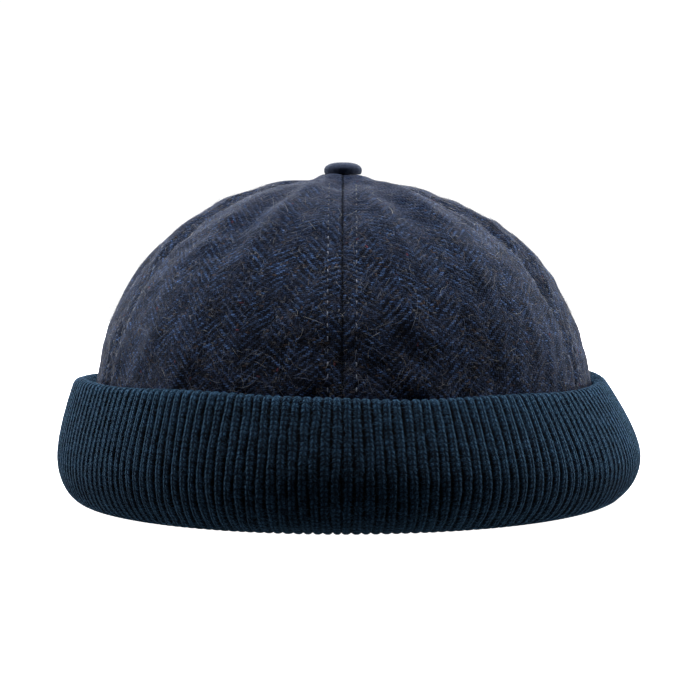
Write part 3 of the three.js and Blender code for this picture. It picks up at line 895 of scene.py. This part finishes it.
def rib_knit(edge_place):
    """The wool, shaded by yarn, groove, dice and fuzz, and by a painted highlight on the turned edge."""
    material, tree = new_material("rib_knit")
    place = pattern_place(tree, "stitches")
    even = add(tree, "ShaderNodeMapping", {"Vector": place, "Scale": (RIB_PITCH, 1, 1)}).outputs[0]
    aside, down = axes(tree, bent(tree, bent(tree, even, 5.0, 1.0), 0.9, 0.6))
    yarn, groove, throw = knit_legs(tree, calc(tree, "DIVIDE", aside, RIB_PITCH), down)
    colour, fuzz = wool(tree, even, *KNIT_DYES, 0.27)
    # Painted highlight: the knit near the turned edge is lightened, as the light from above falls on it.
    from_edge = apart(tree, down, edge_place)
    # Painted shade and light: the holes between stitches and the groove between ribs are darkened, and the
    # yarn's tops lightened.
    shade = between(tree, yarn, 0.0, 0.7, 0.5, 1.7)
    for value, *limits in ((groove, 0, 1, 0.12, 1), (throw, 0, 1, 0.65, 1.4), (fuzz, 0.3, 0.7, 0.3, 1.85),
                           (from_edge, PAINTED_EDGE_LIGHT, 1, 1, 1.7)):
        shade = times(tree, shade, between(tree, value, *limits))
    hairs = use(tree, HAIRS, {"Place": even})["Hairs"]
    colour = mixed(tree, times(tree, hairs, 0.5), shaded(tree, colour, shade), KNIT_HAIR)
    height = calc(tree, "MULTIPLY_ADD", fuzz, 1.3, calc(tree, "MULTIPLY_ADD", hairs, 0.4, yarn))
    finish_material(tree, {"Base Color": colour, "Roughness": 1.0, "Specular IOR Level": 0.05,
                           "Sheen Weight": 0.75, "Sheen Roughness": 0.18,
                           "Sheen Tint": rgba(0.16, 0.37, 0.62), "Normal": relief(tree, height, 0.33)})
    return material


points, rib, down = cuff_surface()
KNIT_CLOTH = rib_knit(down[points[0, :, 2].argmax()])
column_count, row_count = RIBS * RIB_COLUMNS, points.shape[1]
column, row = grid_corners(column_count, row_count)
quads = (column % column_count) * row_count + row % row_count
places = np.stack([rib[column], down[row]], -1)
make_piece("ribbed_cuff", points[:-1].reshape(-1, 3), quads, places, "stitches", KNIT_CLOTH, "rib_knit",
           ["knit_cuff"])

# %% [markdown]
# ## The covered button
# The button is a tin dome with a scrap of cloth drawn over it and gathered underneath. It is turned on
# its axis like a lathe piece, from the disc behind the cloth up the shank to the top, and the gathers are
# small waves that fade towards the crown of the dome.

# %% The button
BUTTON_SIDES = 96
BACK_DISC_RADIUS = 5
BACK_DISC_THICKNESS = 1.2
GATHERS = 17
GATHER_DEPTH = 0.004
BUTTON_THREAD = 0.45
BUTTON_DYES = rgba(0.016, 0.021, 0.037), rgba(0.029, 0.039, 0.07)


def button_surface():
    """Half widths and heights of the profile, carried round. The half width is multiplied by one plus a
    small sine."""
    seat = crown_point(np.zeros(1), np.zeros(1))[0, 2] + SEAM_GAP
    edge_share = 1 - np.arccos((BUTTON_RADIUS / CROWN_HALF_WIDTH) ** (CROWN_FULLNESS / 2)) / EYELET_TILT
    back = crown_point(np.zeros(1), np.array([edge_share]), np.array([TWEED]))[0, 2] - SEAM_GAP
    rim = 0.35 * BUTTON_HEIGHT
    tilt = np.radians(np.linspace(0, 89.6, 26))
    tuck = np.radians(np.linspace(-90, 0, 9))[:-1]
    disc = back - BACK_DISC_THICKNESS
    chamfer = back - BACK_DISC_THICKNESS * 0.6
    below = [(0.02, disc), (BACK_DISC_RADIUS * 0.9, disc), (BACK_DISC_RADIUS, chamfer),
             (BACK_DISC_RADIUS, back), (SHANK_RADIUS, back), (SHANK_RADIUS, seat)]
    radius = np.concatenate([[r for r, _ in below], BUTTON_RADIUS * (0.9 + 0.1 * np.cos(tuck)),
                             BUTTON_RADIUS * np.cos(tilt) ** 0.7])
    height = np.concatenate([[z for _, z in below], seat + rim * (1 + np.sin(tuck)),
                             seat + rim + (BUTTON_HEIGHT - rim) * np.sin(tilt)])
    around = np.linspace(0, 2 * np.pi, BUTTON_SIDES, endpoint=False)
    gather = smooth(radius, SHANK_RADIUS + 1, BUTTON_RADIUS) * (height > seat - 0.01)
    wave = 1 + GATHER_DEPTH * gather[:, None] * np.sin(GATHERS * around + 0.8 * np.sin(3 * around))
    x, y = radius[:, None] * wave * np.cos(around), radius[:, None] * wave * np.sin(around)
    return np.stack([x - BELLY_LEAN, y, height[:, None] + 0 * x], -1)


def smooth_button_cloth():
    """Plain fine cloth: two crossing sines for its threads, faint, over the wool group."""
    material, tree = new_material("button_cloth")
    place = add(tree, "ShaderNodeTexCoord").outputs["Object"]
    in_mm = add(tree, "ShaderNodeMapping", {"Vector": place, "Scale": (1 / MM, 1 / MM, 1 / MM)}).outputs[0]
    aside, ahead = axes(tree, in_mm)
    threads = calc(tree, "ADD", ridges(tree, aside, BUTTON_THREAD), ridges(tree, ahead, BUTTON_THREAD))
    colour, fuzz = wool(tree, in_mm, *BUTTON_DYES, 0.4)
    height = calc(tree, "MULTIPLY_ADD", fuzz, 0.6, threads)
    finish_material(tree, {"Base Color": colour, "Roughness": 1.0, "Specular IOR Level": 0.1,
                           "Sheen Weight": 0.06, "Sheen Roughness": 0.4, "Sheen Tint": rgba(0.7, 0.8, 1.0),
                           "Normal": relief(tree, height, 0.1, 0.5)})
    return material


BUTTON_CLOTH = smooth_button_cloth()
rings = button_surface()[None]
ring_places = np.stack([0 * rings[..., 0, 2], rings[..., 0, 2]], -1)
make_piece("covered_button", *tubes(rings, ring_places), "cloth", BUTTON_CLOTH, "button_cloth", ["button"])

# %% [markdown]
# ## Topstitching
# Two rows of stitches run down beside each seam and hold the seam's turnings flat. Every stitch is a
# short thread that comes up, lies on the cloth and goes down again, so it is a little arched tube. They
# are all placed at once: a table of places, directions and normals along each row, times one arched tube.

# %% The topstitches
STITCH_LENGTH = 1.9
THREAD = 0.18
THREAD_DYES = rgba(0.04, 0.05, 0.075), rgba(0.12, 0.14, 0.19)
PLY_TWIST = 38  # radians of twist along half a stitch
STITCH_SIDES = 6
STITCH_RINGS = 7
STITCH_ROW = (0.1, 0.985)  # share down the crown where a row starts and ends
PALE_STITCHES = (84, 110)  # mm up: the thread is palest below the first and dull above the second


def stitch_frames(seam, side):
    """Place, normal and direction of every stitch in one row, a pitch apart along the row."""
    share = np.linspace(*STITCH_ROW, 700)
    turn = SEAMS[seam] + side * STITCH_FROM_SEAM / crown_outline(share)[0]
    line = crown_point(turn, share, CHANNEL_DEPTH + unevenness(dome_point(turn, share)))
    length = run_length(line)
    at = np.arange(STITCH_PITCH, length[-1], STITCH_PITCH)
    centre = np.stack([np.interp(at, length, line[:, axis]) for axis in range(3)], -1)
    ahead = np.stack([np.interp(at + 0.5, length, line[:, axis]) for axis in range(3)], -1)
    normal = dome_normal(np.interp(at, length, turn), np.interp(at, length, share))
    return centre, normal, unit(ahead - centre)


def thread_material():
    """Grey-blue thread: a sine of the place along a stitch gives its plies, and its wear makes it paler."""
    material, tree = new_material("topstitch_thread")
    wear, along = axes(tree, pattern_place(tree, "thread"))
    ply = calc(tree, "SINE", times(tree, along, PLY_TWIST))
    colour = mixed(tree, between(tree, ply, -1, 1), *THREAD_DYES)
    colour = shaded(tree, colour, between(tree, wear, 0, 1, 0.4, 2.2))
    finish_material(tree, {"Base Color": colour, "Roughness": 0.6, "Specular IOR Level": 0.3,
                           "Sheen Weight": 0.1})
    return material


def swept(centre, normal, direction, path, radius, sides):
    """Round tubes along a path given as (along, out, aside), each row in the frame of its own tube."""
    aside = np.cross(normal, direction)
    frames = np.stack([direction, normal, aside], -2)
    line = centre[:, None] + np.einsum("trk,tkx->trx", path, frames)
    angle = np.linspace(0, 2 * np.pi, sides, endpoint=False)
    ring = np.cos(angle)[:, None] * aside[:, None] + np.sin(angle)[:, None] * normal[:, None]
    return line[:, :, None] + radius[:, :, None, None] * ring[:, None]


rows = [stitch_frames(seam, side) for seam in range(PANELS) for side in (-1, 1)]
centre, normal, direction = (np.concatenate(part) for part in zip(*rows))
count = len(centre)
t = np.linspace(-1, 1, STITCH_RINGS)
length = STITCH_LENGTH * random.uniform(0.85, 1.1, (count, 1))
path = np.stack([length / 2 * t, THREAD * (0.9 - 2.4 * t**4) + 0 * length,
                 0.08 * random.normal(size=(count, 1)) * t], -1)
radius = THREAD * np.sqrt(1.02 - t**4) + 0 * length
stitches = swept(centre, normal, direction, path, radius, STITCH_SIDES)
wear = random.uniform(0, 1, (count, 1)) * smooth(-centre[:, 2:], -PALE_STITCHES[1], -PALE_STITCHES[0])
stitch_places = np.stack([wear + 0 * t, t + 0 * length], -1)
make_piece("topstitching", *tubes(stitches, stitch_places), "thread", thread_material(), "button_cloth")

# %% [markdown]
# ## Seam tape
# Inside a good cap each seam is covered by a strip of tape. It shows only from below, but it closes the
# view through the seams. It is the crown's inner face again, sixteen millimetres wide along each seam.

# %% The seam tape
TAPE_WIDTH = 16
TAPE_THICKNESS = 0.6
TAPE_LINES = 0.7
TAPE_DEPTH = TWEED + 0.05
TAPE_ENDS = (0.02, 0.97)
TAPE_DYES = rgba(0.012, 0.013, 0.02), rgba(0.022, 0.025, 0.04)


def tape_material():
    """Plain ribbed tape: fine lines across it."""
    material, tree = new_material("seam_tape_cloth")
    place = pattern_place(tree, "cloth")
    colour, fuzz = wool(tree, place, *TAPE_DYES, 0.4)
    height = calc(tree, "MULTIPLY_ADD", fuzz, 0.4, ridges(tree, axes(tree, place)[1], TAPE_LINES))
    finish_material(tree, {"Base Color": colour, "Roughness": 0.85, "Specular IOR Level": 0.2,
                           "Normal": relief(tree, height, 0.2, 0.8)})
    return material


TAPE_CLOTH = tape_material()
parts = []
for seam in range(PANELS):
    share = np.linspace(*TAPE_ENDS, 90)[:, None]
    aside = np.linspace(-TAPE_WIDTH / 2, TAPE_WIDTH / 2, 13)[None]
    aside = aside * (0.1 + 0.9 * smooth(share, 0, 0.3))
    turn = SEAMS[seam] + aside / crown_outline(share)[0]
    share = share + 0 * turn
    outer = crown_point(turn, share, TAPE_DEPTH + 0 * turn)
    inner = crown_point(turn, share, TAPE_DEPTH + TAPE_THICKNESS + 0 * turn)
    parts.append(wall(outer, inner, np.stack([aside, length_down(turn, share)], -1)))
starts = np.cumsum([0] + [len(part[0]) for part in parts[:-1]])
points = np.concatenate([part[0] for part in parts])
quads = np.concatenate([part[1] + start for part, start in zip(parts, starts)])
places = np.concatenate([part[2] for part in parts])
make_piece("seam_tape", points, quads, places, "cloth", TAPE_CLOTH, "button_cloth")

# %% [markdown]
# ## Loose fibres
# Tweed is hairy. Fine pale, blue and brown hairs lie over the cloth and stand out a little at the
# outline, which softens it. Hair particles could make them, but plain thin tubes stay with the mesh and
# are the same each time. Each is a bent line a few millimetres long that leaves the cloth at its ends.

# %% The loose fibres
FIBRES = 5000
FIBRE_RADIUS = 0.035
SHORTEST = 0.6
FIBRE_DYES = [  # where each dye starts on the ramp
    (0.0, rgba(0.03, 0.04, 0.075)), (0.35, rgba(0.06, 0.085, 0.16)), (0.6, rgba(0.1, 0.11, 0.135)),
    (0.8, rgba(0.075, 0.055, 0.042)), (0.95, rgba(0.24, 0.24, 0.24)),
]


def fibre_material():
    """Each fibre has its own number across, and a ramp turns that into its dye."""
    material, tree = new_material("loose_fibre")
    ramp = add(tree, "ShaderNodeValToRGB", {"Fac": axes(tree, pattern_place(tree, "fibre"))[0]})
    ramp.color_ramp.interpolation = "CONSTANT"
    while len(ramp.color_ramp.elements) < len(FIBRE_DYES):
        ramp.color_ramp.elements.new(1.0)
    for element, (position, dye) in zip(ramp.color_ramp.elements, FIBRE_DYES):
        element.position, element.color = position, dye
    finish_material(tree, {"Base Color": ramp.outputs[0], "Roughness": 0.7, "Sheen Weight": 0.2})
    return material


turn = random.uniform(0, 2 * np.pi, FIBRES)
share = np.sqrt(random.uniform(0.02, 0.92, FIBRES))
centre = crown_point(turn, share, unevenness(dome_point(turn, share)))
normal = dome_normal(turn, share)
heading = random.uniform(0, 2 * np.pi, FIBRES)[:, None]
sideways = unit(np.cross(normal, [0, 0, 1]) + 1e-9)
direction = np.cos(heading) * sideways + np.sin(heading) * np.cross(normal, sideways)
t = np.linspace(-1, 1, 5)
half_length = random.gamma(3.0, 0.7, (FIBRES, 1)) + SHORTEST
bend = random.normal(0, 0.35, (FIBRES, 1))
rise = random.exponential(0.16, (FIBRES, 1))
path = np.stack([half_length * t, 0.05 + rise * (t + random.uniform(-0.7, 0.7, (FIBRES, 1))) ** 2,
                 bend * half_length * (t**2 + 0.4 * t**3)], -1)
radius = FIBRE_RADIUS * random.uniform(0.7, 1.3, (FIBRES, 1)) * np.sqrt(1.05 - t**2)
fibres = swept(centre, normal, direction, path, radius, 4)
fibre_places = np.stack([random.uniform(0, 1, (FIBRES, 1)) + 0 * t, t + 0 * bend], -1)
make_piece("loose_fibres", *tubes(fibres, fibre_places), "fibre", fibre_material(), "tweed")
